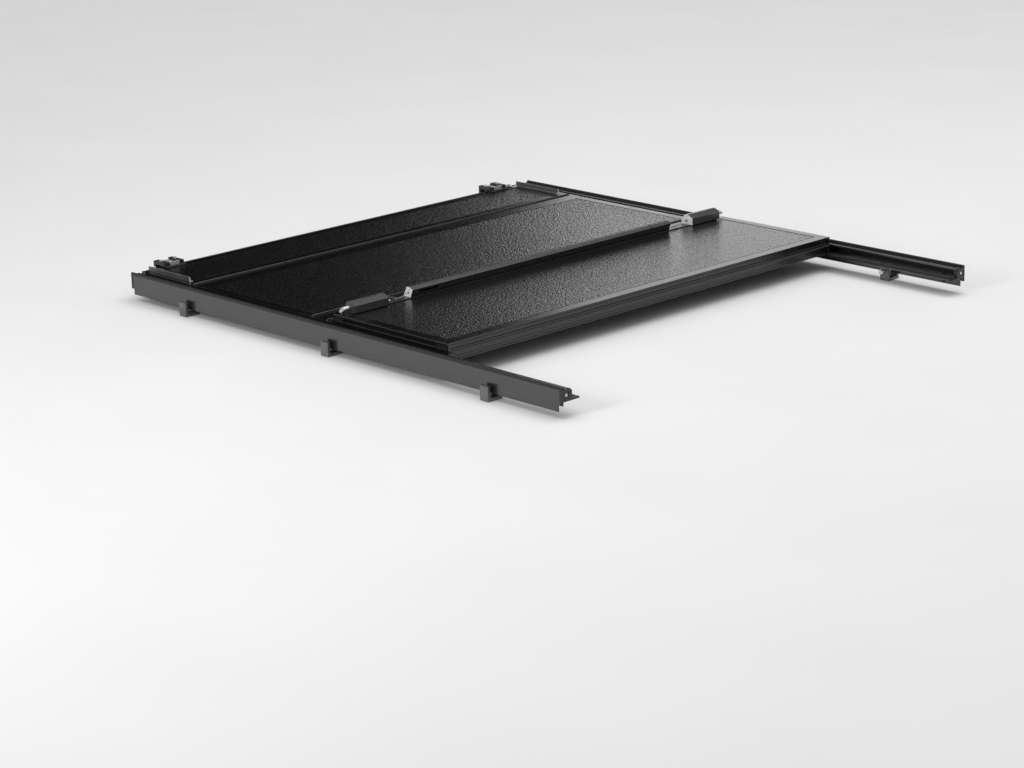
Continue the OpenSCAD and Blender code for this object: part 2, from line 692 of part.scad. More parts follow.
// Closed helix along X of the given length
module spring(length) {
    rings = spring_turns * spring_steps;
    function ring_point(i, k) = let (
        turn = 360 * i / spring_steps,
        side = 360 * k / spring_sides,
        r = spring_r + spring_wire_r * cos(side))
        [length * i / rings + spring_wire_r * sin(side), r * cos(turn), r * sin(turn)];
    polyhedron(
        points = [for (i = [0 : rings], k = [0 : spring_sides - 1]) ring_point(i, k)],
        faces = concat(
            [[for (k = [0 : spring_sides - 1]) k]],
            [for (i = [0 : rings - 1], k = [0 : spring_sides - 1])
                [i * spring_sides + k, (i + 1) * spring_sides + k,
                 (i + 1) * spring_sides + (k + 1) % spring_sides,
                 i * spring_sides + (k + 1) % spring_sides]],
            [[for (k = [0 : spring_sides - 1]) rings * spring_sides + spring_sides - 1 - k]]));
}

// Release cable from one bolt's tail to the other: it runs inside the latch rail and dips
// towards the panel in each open gap. The route is given as [X, height] from the panel's face.
gap_mid = (latch_rail_x + tail_end_x - bolt_travel) / 2;
cable_low = -6;
cable_half = [[cable_in_x, bolt_axis[1]], [tail_end_x - bolt_travel, bolt_axis[1]],
    [gap_mid + 22, -12.5], [gap_mid + 12, -8.5], [gap_mid, cable_low],
    [gap_mid - 14, -8.5], [gap_mid - 24, -12.5], [latch_rail_x - 4, bolt_axis[1]],
    [latch_rail_x - 60, bolt_axis[1]]];
cable_sides = 8;
module release_cable() folded() color([0.5, 0.5, 0.5]) at_latch() cable_tube();
module cable_tube() {
    route = concat(cable_half, [for (i = [len(cable_half) - 1 : -1 : 0])
        [-cable_half[i][0], cable_half[i][1]]]);
    last = len(route) - 1;
    function heading(i) = let (a = route[max(i - 1, 0)], b = route[min(i + 1, last)], d = b - a)
        d / norm(d);
    polyhedron(
        points = [for (i = [0 : last], k = [0 : cable_sides - 1]) let (
            h = heading(i), s = 360 * k / cable_sides)
            [route[i][0] - h[1] * cable_r * sin(s), bolt_axis[0] + cable_r * cos(s),
             route[i][1] + h[0] * cable_r * sin(s)]],
        faces = concat(
            [[for (k = [cable_sides - 1 : -1 : 0]) k]],
            [for (i = [0 : last - 1], k = [0 : cable_sides - 1])
                [i * cable_sides + k, i * cable_sides + (k + 1) % cable_sides,
                 (i + 1) * cable_sides + (k + 1) % cable_sides, (i + 1) * cable_sides + k]],
            [[for (k = [0 : cable_sides - 1]) last * cable_sides + k]]));
}

// Screws of the latch rail's base strip
module panel4_screws() folded() color("silver") translate([0, 0, -panel_depth]) both_sides()
    for (x = [545, 570]) translate([x, latch_y - 9, -strip_t - 2]) cylinder(r = 4, h = 2);

rail_walls();
rail_ledges();
rail_top_seals();
ledge_seals();
rail_end_caps();
drain_nipples();
clamp_bodies();
clamp_bolts();
panel1_skin();
panel1_core();
panel1_liner();
panel1_front_bar();
panel1_hinge_bar();
panel1_side_bars();
panel1_corner_caps();
bulkhead_seal();
front_side_trims();
corner_clips();
cab_brackets();
cab_bracket_hooks();
cab_bracket_screws();
mounting_knobs();
hinge_pin_front();
panel2_skin();
panel2_core();
panel2_liner();
panel2_front_bar();
panel2_rear_bar();
panel2_side_bars();
panel2_corner_caps();
prop_rod_mounts();
prop_rod_left();
prop_rod_right();
link_bar();
link_end_caps();
hinge_pin_link_front();
hinge_pin_link_rear();
panel3_skin();
panel3_core();
panel3_liner();
panel3_front_bar();
panel3_rear_bar();
panel3_side_bars();
panel3_corner_caps();
hinge_pin_rear();
panel4_skin();
panel4_core();
panel4_liner();
panel4_hinge_bar();
panel4_tail_bar();
panel4_side_bars();
panel4_corner_caps();
panel4_screws();
tailgate_seal();
latch_rail();
latch_housings();
latch_springs();
latch_bolt_left();
latch_bolt_right();
release_cable();
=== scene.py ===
"""Looks of a hard folding bed cover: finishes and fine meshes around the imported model."""

import math

import bmesh
import bpy
from mathutils import Matrix, Vector
from mathutils.geometry import tessellate_polygon


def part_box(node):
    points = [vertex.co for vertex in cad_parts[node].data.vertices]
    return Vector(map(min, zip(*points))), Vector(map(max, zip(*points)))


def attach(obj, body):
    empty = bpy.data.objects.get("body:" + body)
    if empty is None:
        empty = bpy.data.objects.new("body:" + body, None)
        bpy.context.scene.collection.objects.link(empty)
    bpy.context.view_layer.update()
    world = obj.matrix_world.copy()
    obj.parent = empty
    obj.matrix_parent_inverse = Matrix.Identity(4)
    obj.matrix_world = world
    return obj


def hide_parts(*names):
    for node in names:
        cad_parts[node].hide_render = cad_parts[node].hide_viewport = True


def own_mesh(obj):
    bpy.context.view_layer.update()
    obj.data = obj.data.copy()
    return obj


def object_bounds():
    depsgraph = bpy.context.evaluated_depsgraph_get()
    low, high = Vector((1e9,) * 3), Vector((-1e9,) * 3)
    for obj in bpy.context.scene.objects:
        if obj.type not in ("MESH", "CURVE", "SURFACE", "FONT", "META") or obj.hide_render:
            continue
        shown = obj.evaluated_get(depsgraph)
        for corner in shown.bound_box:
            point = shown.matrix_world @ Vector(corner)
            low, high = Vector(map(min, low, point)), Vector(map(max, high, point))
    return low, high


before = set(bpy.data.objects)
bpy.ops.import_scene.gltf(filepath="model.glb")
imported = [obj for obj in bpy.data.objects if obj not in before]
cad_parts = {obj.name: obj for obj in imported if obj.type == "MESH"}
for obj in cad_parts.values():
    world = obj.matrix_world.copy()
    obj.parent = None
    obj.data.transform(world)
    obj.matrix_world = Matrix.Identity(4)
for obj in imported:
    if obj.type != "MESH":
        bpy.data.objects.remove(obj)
cad_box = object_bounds()

MM = 0.001
SIDES = (-1, 1)
SHARP = 35  # degrees between two faces, from which their edge counts as sharp


# ---------- shapes, in millimetres ----------

def mm_box(node):
    """Lowest and highest corner of a CAD node, in millimetres."""
    low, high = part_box(node)
    return low / MM, high / MM


def solids(node):
    """The boxes of a CAD node's separate solids as (low, high), in millimetres, in order of X, then Y."""
    mesh = bmesh.new()
    mesh.from_mesh(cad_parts[node].data)
    bmesh.ops.remove_doubles(mesh, verts=mesh.verts, dist=1e-6)
    todo, boxes = set(mesh.verts), []
    while todo:
        lump, edge = set(), [todo.pop()]
        while edge:
            vert = edge.pop()
            lump.add(vert)
            near = {e.other_vert(vert) for e in vert.link_edges} & todo
            todo -= near
            edge.extend(near)
        low = Vector([min(v.co[i] for v in lump) for i in range(3)]) / MM
        high = Vector([max(v.co[i] for v in lump) for i in range(3)]) / MM
        boxes.append((low, high))
    mesh.free()
    return sorted(boxes, key=lambda b: (round(b[0].x), round(b[0].y)))


def rounded(corners, radius, steps=3):
    """The outline with each corner turned into a small curve. A corner may give its own radius."""
    out = []
    for i, corner in enumerate(corners):
        point = Vector(corner[:2])
        before = Vector(corners[i - 1][:2]) - point
        after = Vector(corners[(i + 1) % len(corners)][:2]) - point
        wanted = corner[2] if len(corner) > 2 else radius
        half_turn = max(before.angle(after), 0.1) / 2
        reach = min(wanted / math.tan(half_turn), 0.45 * before.length, 0.45 * after.length)
        if reach < 0.02 or half_turn > math.radians(86):
            out.append(point)
            continue
        start, end = point + before.normalized() * reach, point + after.normalized() * reach
        for k in range(steps + 1):
            t = k / steps
            out.append((1 - t) ** 2 * start + 2 * t * (1 - t) * point + t * t * end)
    return out


def rectangle(u0, v0, u1, v1):
    return [(u0, v0), (u1, v0), (u1, v1), (u0, v1)]


def ring(centre, radius, sides=32, turn=0.0):
    """Points of a circle in a plane."""
    return [(centre[0] + radius * math.cos(2 * math.pi * k / sides + turn),
             centre[1] + radius * math.sin(2 * math.pi * k / sides + turn)) for k in range(sides)]


def lifted(point, axis, at):
    """A point of an outline, placed at a height along X, Y or Z."""
    u, v = point[0], point[1]
    return Vector({"x": (at, u, v), "y": (u, at, v), "z": (u, v, at)}[axis])


class Shape:
    """Vertices and faces in millimetres, gathered from closed solids."""

    def __init__(self, verts=(), faces=()):
        self.verts, self.faces = [Vector(v) for v in verts], [list(f) for f in faces]

    def add(self, other):
        first = len(self.verts)
        self.verts += other.verts
        self.faces += [[first + i for i in face] for face in other.faces]
        return self

    def moved(self, x=0.0, y=0.0, z=0.0):
        return Shape([v + Vector((x, y, z)) for v in self.verts], self.faces)

    def turned_by(self, matrix):
        return Shape([matrix @ v for v in self.verts], self.faces)

    def mirrored(self, axis=0):
        """The mirror image across the plane through the origin, with its faces turned back out."""
        verts = [v.copy() for v in self.verts]
        for v in verts:
            v[axis] = -v[axis]
        return Shape(verts, [face[::-1] for face in self.faces])

    def both_sides(self):
        return Shape(self.verts, self.faces).add(self.mirrored())


def prism(outline, axis, a, b, holes=()):
    """An outline, with any holes in it, extruded along an axis."""
    loops = [list(outline), *[list(h) for h in holes]]
    count = sum(len(loop) for loop in loops)
    verts = [lifted(p, axis, at) for at in (a, b) for loop in loops for p in loop]
    faces, first = [], 0
    for loop in loops:
        n = len(loop)
        for i in range(n):
            j = (i + 1) % n
            faces.append([first + i, first + j, first + j + count, first + i + count])
        first += n
    if holes:
        flat = [[Vector((p[0], p[1], 0)) for p in loop] for loop in loops]
        caps = [list(t) for t in tessellate_polygon(flat)]
    else:
        caps = [list(range(count))]
    faces += caps + [[i + count for i in cap] for cap in caps]
    return Shape(verts, faces)


def block(low, high):
    return prism(rectangle(low[0], low[1], high[0], high[1]), "z", low[2], high[2])


def turned(profile, axis, origin, sides=32):
    """A solid of revolution: profile gives (place along the axis, radius) from one end to the other."""
    origin = Vector(origin)
    verts, faces = [], []
    for at, radius in profile:
        for point in ring((0, 0), max(radius, 0.01), sides):
            verts.append(lifted(point, axis, at) + origin)
    for i in range(len(profile) - 1):
        for k in range(sides):
            n = (k + 1) % sides
            faces.append([i * sides + k, i * sides + n, (i + 1) * sides + n, (i + 1) * sides + k])
    faces += [list(range(sides)), [(len(profile) - 1) * sides + k for k in range(sides)]]
    return Shape(verts, faces)


def lathe_loop(profile, axis, origin, sides=32):
    """A ring-shaped solid of revolution from a closed profile of (place, radius)."""
    origin, n = Vector(origin), len(profile)
    verts = [lifted(p, axis, at) + origin for at, r in profile for p in ring((0, 0), r, sides)]
    faces = []
    for i in range(n):
        j = (i + 1) % n
        for k in range(sides):
            m = (k + 1) % sides
            faces.append([i * sides + k, i * sides + m, j * sides + m, j * sides + k])
    return Shape(verts, faces)


def tube(route, radius, sides=12):
    """A round bar along a route, with flat ends and no twist. The radius may vary along it."""
    route = [Vector(p) for p in route]
    radii = radius if isinstance(radius, (list, tuple)) else [radius] * len(route)
    heading = (route[1] - route[0]).normalized()
    side = heading.orthogonal().normalized()
    verts, faces = [], []
    for i, point in enumerate(route):
        ahead = (route[min(i + 1, len(route) - 1)] - route[max(i - 1, 0)]).normalized()
        side = (side - ahead * side.dot(ahead)).normalized()
        across = ahead.cross(side)
        for k in range(sides):
            t = 2 * math.pi * k / sides
            verts.append(point + radii[i] * (math.cos(t) * side + math.sin(t) * across))
    for i in range(len(route) - 1):
        for k in range(sides):
            n = (k + 1) % sides
            faces.append([i * sides + k, i * sides + n, (i + 1) * sides + n, (i + 1) * sides + k])
    faces += [list(range(sides)), [(len(route) - 1) * sides + k for k in range(sides)]]
    return Shape(verts, faces)


def smooth_route(points, step):
    """A curve through the points, with a point about every step."""
    points = [Vector(p) for p in points]
    points = [2 * points[0] - points[1], *points, 2 * points[-1] - points[-2]]
    out = []
    for i in range(1, len(points) - 2):
        a, b, c, d = points[i - 1 : i + 3]
        n = max(1, round((c - b).length / step))
        for k in range(n):
            t = k / n
            out.append(0.5 * (2 * b + (c - a) * t + (2 * a - 5 * b + 4 * c - d) * t * t
                              + (3 * b - a - 3 * c + d) * t ** 3))
    return [*out, points[-2]]


def helix(axis_x0, length, centre, radius, turns, steps=20):
    """Points of a helix along X, with closed coils at both ends."""
    out = []
    for i in range(turns * steps + 1):
        share = i / (turns * steps)
        eased = share * share * (3 - 2 * share) * 0.35 + share * 0.65
        angle = 2 * math.pi * i / steps
        out.append((axis_x0 + length * eased, centre[0] + radius * math.cos(angle),
                    centre[1] + radius * math.sin(angle)))
    return out


def to_mesh(name, shape, scale=1.0):
    mesh = bpy.data.meshes.new(name)
    mesh.from_pydata([v * scale for v in shape.verts], [], shape.faces)
    work = bmesh.new()
    work.from_mesh(mesh)
    bmesh.ops.recalc_face_normals(work, faces=work.faces)
    work.to_mesh(mesh)
    work.free()
    return mesh


def minus(shape, *cutters):
    """The shape with other solids cut away, as exact booleans."""
    made = []
    for part in (shape, *cutters):
        thing = bpy.data.objects.new("working", to_mesh("working", part))
        bpy.context.scene.collection.objects.link(thing)
        made.append(thing)
    for tool in made[1:]:
        modifier = made[0].modifiers.new("cut", "BOOLEAN")
        modifier.operation, modifier.solver, modifier.object = "DIFFERENCE", "EXACT", tool
    depsgraph = bpy.context.evaluated_depsgraph_get()
    mesh = bpy.data.meshes.new_from_object(made[0].evaluated_get(depsgraph))
    out = Shape([v.co for v in mesh.vertices], [list(p.vertices) for p in mesh.polygons])
    for thing in made:
        bpy.data.meshes.remove(thing.data)
    bpy.data.meshes.remove(mesh)
    return out


# ---------- pieces ----------

def lapped_area(thing):
    """How much of an object's faces laps over itself, in square metres."""
    evaluated = thing.evaluated_get(bpy.context.evaluated_depsgraph_get())
    mesh = evaluated.to_mesh()
    mesh.calc_loop_triangles()
    area = 0.0
    for triangle in mesh.loop_triangles:
        if triangle.normal.dot(mesh.polygons[triangle.polygon_index].normal) < 0.5:
            area += triangle.area
    evaluated.to_mesh_clear()
    return area


def soften(thing, width):
    """Rounds the sharp edges of an object by up to width, in millimetres, and keeps its flat faces flat.
    The width shrinks until rounding makes no more than a square millimetre lap over itself."""
    if width:
        allowed = lapped_area(thing) + MM * MM
        bevel = thing.modifiers.new("rounded_edges", "BEVEL")
        bevel.width, bevel.segments, bevel.limit_method = width * MM, 2, "ANGLE"
        bevel.angle_limit, bevel.use_clamp_overlap = math.radians(SHARP), False
        bevel.face_strength_mode = "FSTR_ALL"
        while lapped_area(thing) > allowed and bevel.width > 0.1 * width * MM:
            bevel.width *= 0.75
    normals = thing.modifiers.new("flat_shading", "WEIGHTED_NORMAL")
    normals.weight, normals.keep_sharp, normals.use_face_influence = 100, True, bool(width)


def paint(mesh, finish, cut_face, cut_axis):
    """Gives a mesh its finish, and another one to the faces that look along an axis."""
    mesh.materials.clear()
    mesh.materials.append(finish)
    if cut_face:
        mesh.materials.append(cut_face)
        for face in mesh.polygons:
            face.material_index = int(abs(face.normal[cut_axis]) > 0.95)


def keep_cut_between(thing, low, high):
    """Leaves the cut finish only on faces that lie from low to high away from the middle, in millimetres."""
    for face in thing.data.polygons:
        if not low <= abs(face.center.x) / MM <= high:
            face.material_index = 0


def piece(name, shape, finish, body, replaces=(), bevel=0.4, cut_face=None, cut_axis=0):
    """Makes one visible piece that rides on a body."""
    mesh = to_mesh(name, shape, MM)
    mesh.shade_smooth()
    if not bevel:
        mesh.set_sharp_from_angle(angle=math.radians(SHARP))
    paint(mesh, finish, cut_face, cut_axis)
    thing = bpy.data.objects.new(name, mesh)
    bpy.context.scene.collection.objects.link(thing)
    soften(thing, bevel)
    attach(thing, body)
    if replaces:
        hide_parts(*replaces)
    return thing


def dress(node, finish, bevel=0.3, cut_face=None, cut_axis=0):
    """Gives a CAD node that stays a finish, welded corners and rounded edges."""
    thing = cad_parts[node]
    paint(thing.data, finish, cut_face, cut_axis)
    weld = thing.modifiers.new("welded", "WELD")
    weld.merge_threshold = 0.01 * MM
    flat = thing.modifiers.new("flat_faces", "DECIMATE")
    flat.decimate_type, flat.angle_limit = "DISSOLVE", math.radians(0.5)
    flat.delimit = {"MATERIAL"}
    for face in thing.data.polygons:
        face.use_smooth = bool(bevel)
    if bevel:
        soften(thing, bevel)


# ---------- finishes ----------

class Finish:
    """A material of one principled shader, fed by patterns in object space, whose scales are per metre."""

    def __init__(self, name, metallic=0.0, coat=0.0, coat_roughness=0.1, level=0.5):
        self.material = bpy.data.materials.new(name)
        self.material.use_nodes = True
        self.tree = self.material.node_tree
        self.shader = self.tree.nodes["Principled BSDF"]
        self.shader.inputs["Metallic"].default_value = metallic
        self.shader.inputs["Coat Weight"].default_value = coat
        self.shader.inputs["Coat Roughness"].default_value = coat_roughness
        self.shader.inputs["Specular IOR Level"].default_value = level
        self.where = self.tree.nodes.new("ShaderNodeTexCoord").outputs["Object"]
        self.normal = None

    def placed(self, kind, scale, stretch):
        mapping = self.tree.nodes.new("ShaderNodeMapping")
        mapping.inputs["Scale"].default_value = stretch
        self.tree.links.new(self.where, mapping.inputs["Vector"])
        pattern = self.tree.nodes.new(kind)
        pattern.inputs["Scale"].default_value = scale
        self.tree.links.new(mapping.outputs["Vector"], pattern.inputs["Vector"])
        return pattern

    def noise(self, scale, detail=3.0, stretch=(1, 1, 1)):
        pattern = self.placed("ShaderNodeTexNoise", scale, stretch)
        pattern.inputs["Detail"].default_value = detail
        return pattern.outputs["Fac"]

    def cells(self, scale, stretch=(1, 1, 1)):
        pattern = self.placed("ShaderNodeTexVoronoi", scale, stretch)
        pattern.feature = "SMOOTH_F1"
        pattern.inputs["Smoothness"].default_value = 0.6
        return pattern.outputs["Distance"]

    def spread(self, pattern, low, high, start=0.3, end=0.7):
        """The pattern stretched so that start..end of it becomes low..high."""
        node = self.tree.nodes.new("ShaderNodeMapRange")
        for socket, value in (("From Min", start), ("From Max", end), ("To Min", low), ("To Max", high)):
            node.inputs[socket].default_value = value
        self.tree.links.new(pattern, node.inputs["Value"])
        return node.outputs["Result"]

    def colours(self, pattern, dark, light, start=0.3, end=0.7):
        ramp = self.tree.nodes.new("ShaderNodeValToRGB")
        for stop, colour, place in zip(ramp.color_ramp.elements, (dark, light), (start, end)):
            stop.color, stop.position = (*colour, 1), place
        self.tree.links.new(pattern, ramp.inputs["Fac"])
        self.tree.links.new(ramp.outputs["Color"], self.shader.inputs["Base Color"])
        return self

    def gloss(self, pattern, low, high):
        self.tree.links.new(self.spread(pattern, low, high), self.shader.inputs["Roughness"])
        return self

    def bump(self, pattern, depth):
        """Adds relief of the given depth, in metres."""
        node = self.tree.nodes.new("ShaderNodeBump")
        node.inputs["Distance"].default_value = depth
        self.tree.links.new(pattern, node.inputs["Height"])
        if self.normal:
            self.tree.links.new(self.normal, node.inputs["Normal"])
        self.normal = node.outputs["Normal"]
        self.tree.links.new(self.normal, self.shader.inputs["Normal"])
        return self


def grey(value):
    return (value, value, value)


def pebbled(name, dark, light, roughness):
    """Embossed sheet: rounded pebbles a few millimetres across, with finer grain and a slow waviness."""
    finish = Finish(name)
    pebbles = finish.cells(215)
    finish.colours(finish.noise(90, 4), dark, light)
    finish.gloss(finish.noise(240, 1), roughness - 0.08, roughness + 0.20)
    finish.bump(pebbles, 0.0004)
    finish.bump(finish.noise(170, 3), 0.0008)
    finish.bump(finish.noise(105, 1), 0.0005)
    return finish.material


def extruded(name, dark, light, roughness, along, metallic=0.0, level=0.5):
    """Extruded metal with faint drawing lines along one axis and slight clouding."""
    stretch = [1.0, 1.0, 1.0]
    stretch["xyz".index(along)] = 0.01
    finish = Finish(name, metallic=metallic, level=level)
    lines = finish.noise(2600, 2, stretch)
    finish.colours(finish.noise(35, 5), dark, light)
    finish.gloss(lines, roughness - 0.06, roughness + 0.08)
    finish.bump(lines, 0.000012)
    return finish.material


def moulded(name, dark, light, roughness, grain=2200, depth=0.00003, coat=0.0):
    """Moulded plastic or rubber with a fine grain."""
    finish = Finish(name, coat=coat, coat_roughness=0.06)
    finish.colours(finish.noise(60, 4), dark, light)
    finish.gloss(finish.noise(400, 3), roughness - 0.05, roughness + 0.08)
    finish.bump(finish.noise(grain, 2), depth)
    return finish.material


def plated(name, dark, light, roughness):
    """Plated steel: bright, a little cloudy, with fine scratches."""
    finish = Finish(name, metallic=1.0)
    finish.colours(finish.noise(180, 5), dark, light)
    finish.gloss(finish.noise(900, 4, (1, 6, 1)), roughness - 0.08, roughness + 0.1)
    finish.bump(finish.noise(1200, 3), 0.00001)
    return finish.material


def board(name):
    """Cut faces of the cellular core board."""
    finish = Finish(name)
    finish.colours(finish.noise(500, 5, (1, 1, 6)), grey(0.010), grey(0.020))
    finish.gloss(finish.noise(500, 3), 0.6, 0.8)
    finish.bump(finish.noise(900, 3), 0.0001)
    return finish.material


SKIN = pebbled("pebbled_skin", grey(0.003), grey(0.006), 0.13)
LINER = pebbled("pebbled_liner", grey(0.005), grey(0.009), 0.13)
BAR_X = extruded("black_anodised_x", grey(0.002), grey(0.005), 0.17, "x", level=0.65)
BAR_Y = extruded("black_anodised_y", grey(0.002), grey(0.005), 0.17, "y", level=0.65)
RAIL = extruded("rail_anodised", grey(0.010), grey(0.017), 0.20, "y", level=1.0)
# The base strip's colour is set dark: painted shade for the gaps between the latch rail and the housings,
# where it shows.
SHADED_BASE = extruded("base_strip_painted_shade", grey(0.035), grey(0.06), 0.30, "x", metallic=0.4)
GREY_Y = extruded("grey_aluminium_y", grey(0.13), grey(0.20), 0.38, "y", metallic=0.7)
HOUSING = extruded("latch_housing", grey(0.014), grey(0.024), 0.22, "x", level=0.9)
CUT = extruded("cut_aluminium", grey(0.78), grey(0.90), 0.42, "z", metallic=0.2)
CAP = moulded("gloss_cap", grey(0.004), grey(0.007), 0.14, 300, 0.00002, coat=0.4)
PLASTIC = moulded("moulded_plastic", grey(0.008), grey(0.014), 0.34)
RUBBER = moulded("rubber", grey(0.009), grey(0.014), 0.58, 900, 0.00004)
SEAL = moulded("smooth_seal", grey(0.010), grey(0.016), 0.26, 900, 0.00002)
ZINC = plated("zinc_steel", (0.60, 0.61, 0.63), (0.82, 0.83, 0.85), 0.30)
PAINT = moulded("grey_paint", grey(0.30), grey(0.36), 0.36, 700, 0.00003)
WIRE = plated("cable_wire", grey(0.20), grey(0.34), 0.38)
BOARD = board("core_board")


# ---------- fasteners ----------

def screw_head(radius, height):
    """Domed screw head that stands on the origin, with a cross recess."""
    profile = [(0, radius), (0.35 * height, radius), (0.75 * height, 0.82 * radius), (height, 0.5 * radius)]
    dome = turned(profile, "z", (0, 0, 0), 28)
    arm, half, bottom = 0.52 * radius, 0.13 * radius, 0.4 * height
    return minus(dome, block((-arm, -half, bottom), (arm, half, height + 1)),
                 block((-half, -arm, bottom), (half, arm, height + 1)))


def socket_screw(radius, height, washer_r, washer_h):
    """Cap screw with a hexagon socket, on a washer that stands on the origin."""
    head = turned([(washer_h, 0.94 * radius), (washer_h + 0.4, radius), (washer_h + height - 0.5, radius),
                   (washer_h + height, 0.88 * radius)], "z", (0, 0, 0), 32)
    top = washer_h + height
    head = minus(head, prism(ring((0, 0), 0.52 * radius, 6), "z", top - 0.55 * height, top + 1))
    rim = washer_r - 0.2
    washer = turned([(0, rim), (0.2, washer_r), (washer_h - 0.2, washer_r), (washer_h, rim)],
                    "z", (0, 0, 0), 36)
    return washer.add(head)


def threaded(start, end, radius, depth, pitch, axis, origin):
    """Threaded shaft as closely spaced ridges."""
    profile, count = [], round((end - start) / pitch)
    for k in range(count):
        at = start + (end - start) * k / count
        profile += [(at, radius - depth), (at + pitch / 2, radius)]
    return turned([*profile, (end, radius - depth)], axis, origin, 20)


# ---------- panels ----------

BODIES = {1: "root", 2: "panel2", 3: "panel3", 4: "panel4"}


def plate(node, name, finish, body):
    """A sheet with small corner radii and a rolled edge."""
    low, high = mm_box(node)
    outline = rounded(rectangle(low.x, low.y, high.x, high.y), 2.5, 4)
    piece(name, prism(outline, "z", low.z, high.z), finish, body, (node,), bevel=0.5)


def panels():
    for number, body in BODIES.items():
        plate(f"panel{number}_skin", f"panel{number}_top_sheet", SKIN, body)
        plate(f"panel{number}_liner", f"panel{number}_bottom_sheet", LINER, body)
        dress(f"panel{number}_core", BOARD, 0)
        dress(f"panel{number}_side_bars", BAR_Y, 0.5)
    for node in ("panel1_front_bar", "panel1_hinge_bar", "panel2_front_bar", "panel2_rear_bar",
                 "panel3_front_bar", "panel3_rear_bar", "panel4_hinge_bar", "panel4_tail_bar", "link_bar"):
        dress(node, BAR_X, 0.35)
    for node in ("hinge_pin_front", "hinge_pin_link_front", "hinge_pin_link_rear", "hinge_pin_rear"):
        dress(node, ZINC, 0.3)


WIDE_CAP = 20
SCREW_DEPTH = 2.4


def corner_cap(low, high, edge):
    """A moulded cap for one corner on the passenger side, from the low and high of its box. The edge is 1
    or -1, the end of Y that is the panel's outer edge. A wide cap has a well for a screw in its top."""
    wide = high.x - low.x > WIDE_CAP
    outer_y = high.y if edge > 0 else low.y
    corners = [(low.x, low.y, 0.8), (high.x, low.y, 0.8), (high.x, high.y, 0.8), (low.x, high.y, 0.8)]
    corners[2 if edge > 0 else 1] = (high.x, outer_y, 8 if wide else 4)
    cap = prism(rounded(corners, 0.8, 6), "z", low.z, high.z)
    cuts = []
    for rise in (-4, 0, 4):
        z = (low.z + high.z) / 2 + rise
        cuts.append(block((high.x - 1.1, low.y + 6, z - 1.2), (high.x + 5, high.y - 6, z + 1.2)))
    if wide:
        centre = ((low.x + high.x) / 2, (low.y + high.y) / 2)
        cuts.append(prism(ring(centre, 4.6), "z", high.z - SCREW_DEPTH, high.z + 1))
    return minus(cap, *cuts)


def corner_caps():
    """Caps at the ends of the panels. The panel edge that each stands at follows from its place."""
    for number, body in BODIES.items():
        node = f"panel{number}_corner_caps"
        whole_low, whole_high = mm_box(node)
        shape, screws = Shape(), Shape()
        for low, high in solids(node):
            if low.x < 0:
                continue
            edge = 1 if high.y > (whole_low.y + whole_high.y) / 2 else -1
            shape.add(corner_cap(low, high, edge))
            if high.x - low.x > WIDE_CAP:
                head = screw_head(4.0, 1.8)
                screws.add(head.moved((low.x + high.x) / 2, (low.y + high.y) / 2, high.z - SCREW_DEPTH))
        piece(f"panel{number}_end_caps", shape.both_sides(), CAP, body, (node,), bevel=0.9)
        if screws.verts:
            piece(f"panel{number}_cap_screws", screws.both_sides(), ZINC, body, bevel=0.12)
    dress("link_end_caps", CAP, 0.6)


# ---------- rails ----------

RAIL_HALF = 870
NIPPLE_X = 785
NIPPLE_YS = (-820, 820)
CLAMP_YS = (-620, 0, 620)
CLAMP_Z = -47.5


def rail_wall_outline():
    """The wall and its lip in (X, Z), with faint grooves along the wall's inner face."""
    points = [(798, 0, 1.2), (768, 0, 0.9), (768, -5, 0.8), (770, -5, 0.6), (770, -3, 0.8), (795, -3, 0.8)]
    for z in (-9, -14, -19):
        points += [(795, z, 0.2), (795.9, z - 0.5, 0.2), (795.9, z - 1.5, 0.2), (795, z - 2, 0.2)]
    return rounded([*points, (795, -57, 0.8), (798, -57, 0.8)], 0.5)


def rail_ledge_outline():
    """The ribbed ledge in (X, Z), with its leg below."""
    points = [(739, -26.1, 0.5), (742, -26.1, 0.4), (742, -26.5, 0.1)]
    for x in (760, 767, 774, 781, 788):
        points += [(x, -26.5, 0.2), (x + 0.4, -25.7, 0.4), (x + 1.6, -25.7, 0.4), (x + 2, -26.5, 0.2)]
    points += [(795, -26.5, 0.1), (795, -29.5, 0.1), (775, -29.5, 0.8), (775, -35.5, 0.6), (772, -35.5, 0.6),
               (772, -29.5, 0.8), (742, -29.5, 0.8), (742, -31, 0.5), (739, -31, 0.5)]
    return rounded(points, 0.3, 2)


def side_rails():
    wall = prism(rail_wall_outline(), "y", -RAIL_HALF, RAIL_HALF)
    piece("rail_wall_extrusions", wall.both_sides(), RAIL, "root", ("rail_walls",),
          bevel=0, cut_face=CUT, cut_axis=1)
    ledge = prism(rail_ledge_outline(), "y", -RAIL_HALF, RAIL_HALF)
    holes = [prism(rounded(rectangle(735, 78, 753, 102), 3), "z", -34, -24),
             prism(ring((747, 800), 3.4), "z", -34, -24)]
    for y in NIPPLE_YS:
        holes.append(prism(ring((NIPPLE_X, y), 6), "z", -34, -24))
        holes.append(prism(ring((NIPPLE_X, y), 7.8), "z", -26.5, -20))
    ledge = minus(ledge, *holes)
    piece("rail_ledge_extrusions", ledge.both_sides(), RAIL, "root", ("rail_ledges",),
          bevel=0, cut_face=CUT, cut_axis=1)


